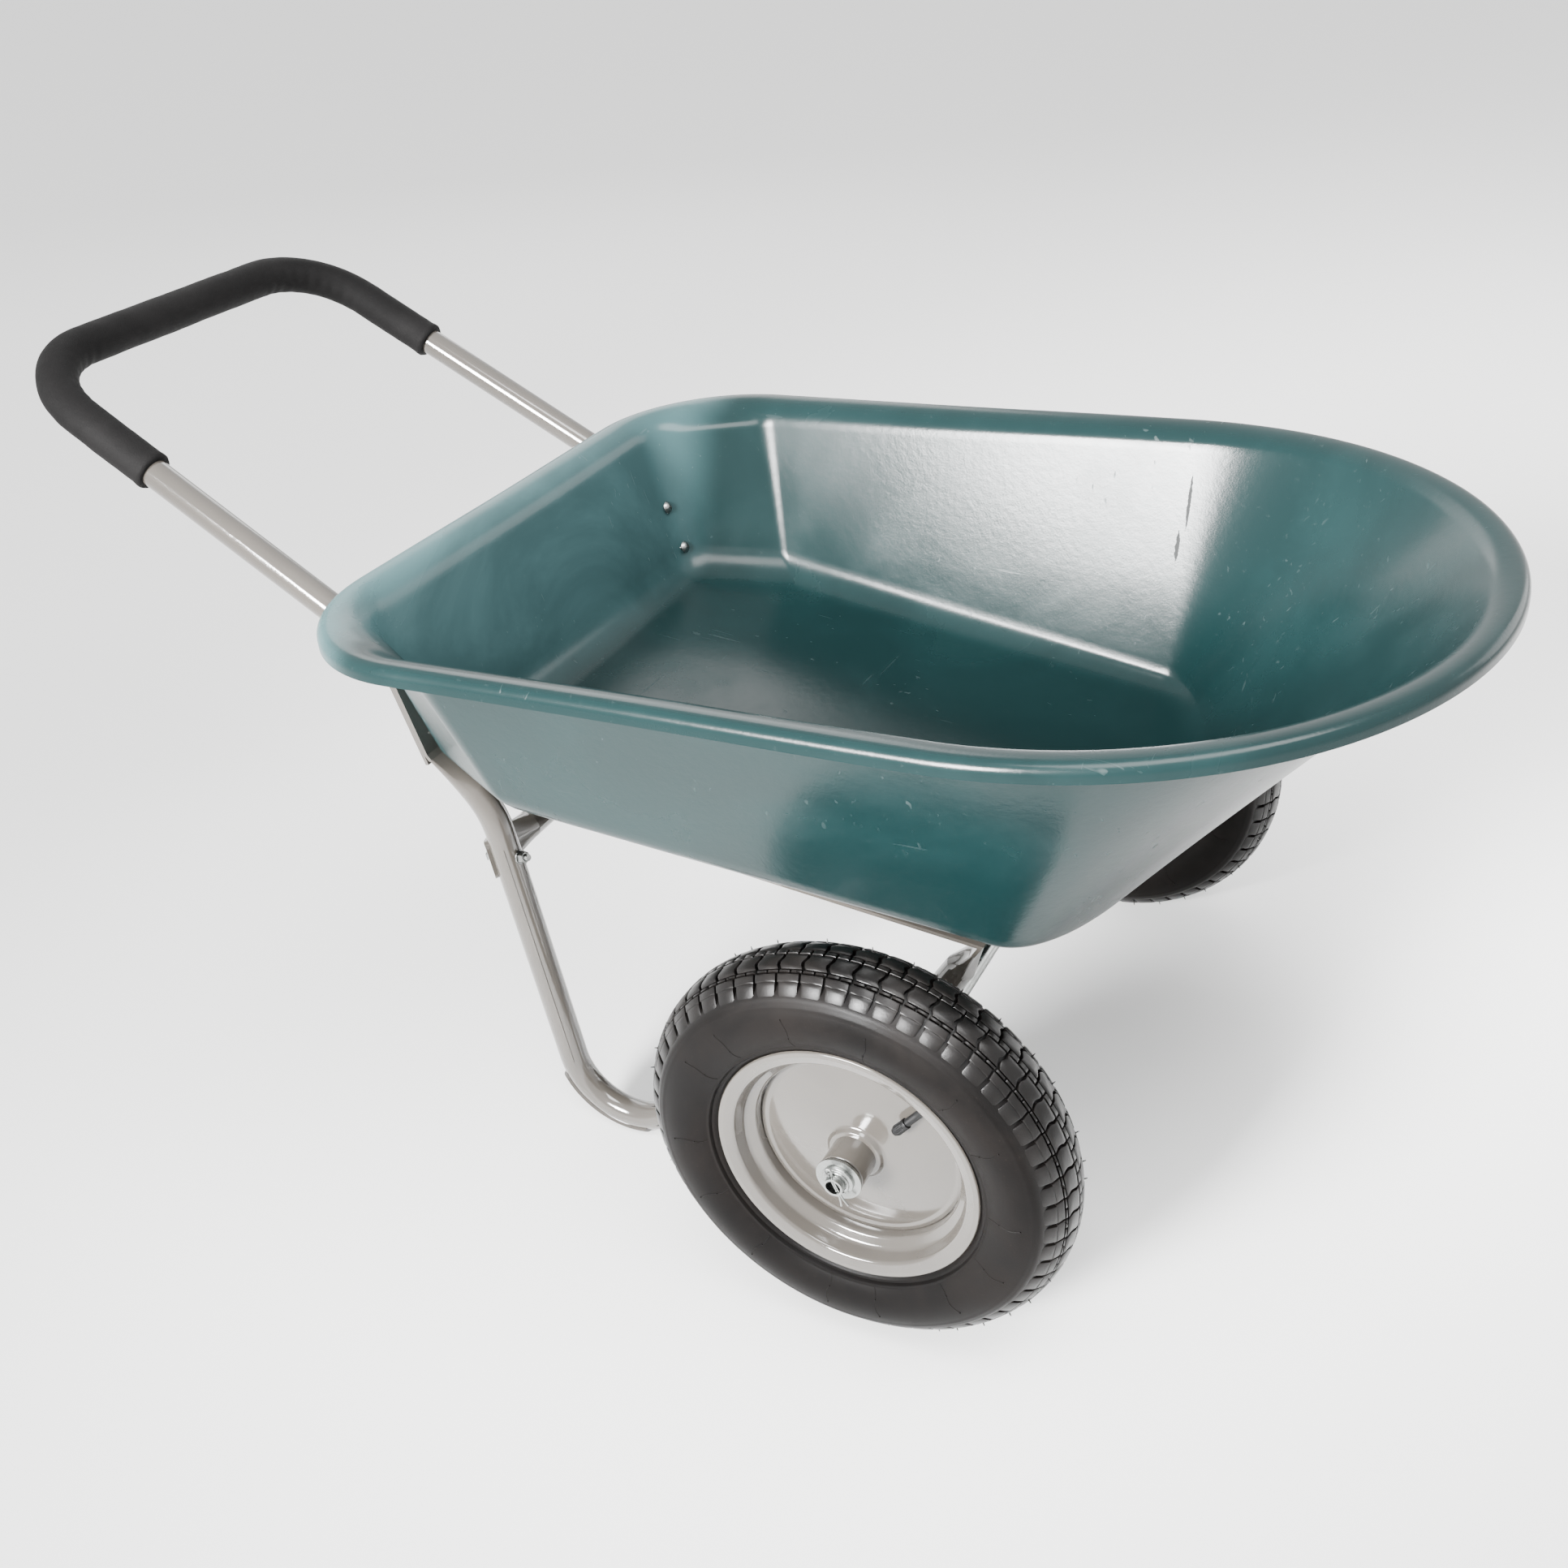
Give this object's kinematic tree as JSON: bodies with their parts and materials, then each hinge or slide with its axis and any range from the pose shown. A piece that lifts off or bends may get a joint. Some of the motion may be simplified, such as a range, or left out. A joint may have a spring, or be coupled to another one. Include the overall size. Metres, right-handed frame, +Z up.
{
  "type": "wheelbarrow",
  "caption": "Garden wheelbarrow with a deep plastic tray, a bent tube frame, a U-shaped foam-gripped handle and pneumatic wheels on one axle.",
  "frame": {"origin": "on the ground under the centre of the bounding box", "axes": "+X from the handle to the nose of the tray, +Y to the user's left, +Z up"},
  "size_m": [1.2532, 0.7284, 0.6798],
  "materials": {
    "tray_plastic": "gloss",
    "frame_paint": "gloss",
    "grip_foam": "matte",
    "plated_steel": "satin",
    "tyre_rubber": "matte",
    "tube_rubber": "satin",
    "bush_plastic": "matte",
    "cap_plastic": "satin"
  },
  "bodies": {
    "frame": {"tray": "tray_plastic", "handle_tube": "frame_paint", "handle_grip": "grip_foam", "rear_brace": "frame_paint", "axle": "plated_steel", "tray_bolts": "plated_steel", "tray_washers": "plated_steel", "tray_nuts": "plated_steel", "brace_bolts": "plated_steel", "brace_washers": "plated_steel", "brace_nuts": "plated_steel", "frame_tube_left": "frame_paint", "foot_plate_left": "frame_paint", "axle_boss_left": "frame_paint", "axle_spacer_left": "plated_steel", "inner_washer_left": "plated_steel", "outer_washer_left": "plated_steel", "axle_collar_left": "plated_steel", "split_pin_left": "plated_steel", "frame_tube_right": "frame_paint", "foot_plate_right": "frame_paint", "axle_boss_right": "frame_paint", "axle_spacer_right": "plated_steel", "inner_washer_right": "plated_steel", "outer_washer_right": "plated_steel", "axle_collar_right": "plated_steel", "split_pin_right": "plated_steel"},
    "wheel_left": {"tyre_left": "tyre_rubber", "inner_tube_left": "tube_rubber", "rim_left": "frame_paint", "wheel_disc_left": "frame_paint", "hub_tube_left": "frame_paint", "outer_bush_left": "bush_plastic", "inner_bush_left": "bush_plastic", "valve_stem_left": "tube_rubber", "valve_cap_left": "cap_plastic"},
    "wheel_right": {"tyre_right": "tyre_rubber", "inner_tube_right": "tube_rubber", "rim_right": "frame_paint", "wheel_disc_right": "frame_paint", "hub_tube_right": "frame_paint", "outer_bush_right": "bush_plastic", "inner_bush_right": "bush_plastic", "valve_stem_right": "tube_rubber", "valve_cap_right": "cap_plastic"}
  },
  "joints": [
    {"name": "wheel_left_roll", "type": "hinge", "parent": "frame", "child": "wheel_left", "pos_m": [0.219, 0.3115, 0.18], "axis": [0, 1, 0], "continuous": true},
    {"name": "wheel_right_roll", "type": "hinge", "parent": "frame", "child": "wheel_right", "pos_m": [0.219, -0.3115, 0.18], "axis": [0, 1, 0], "continuous": true}
  ]
}
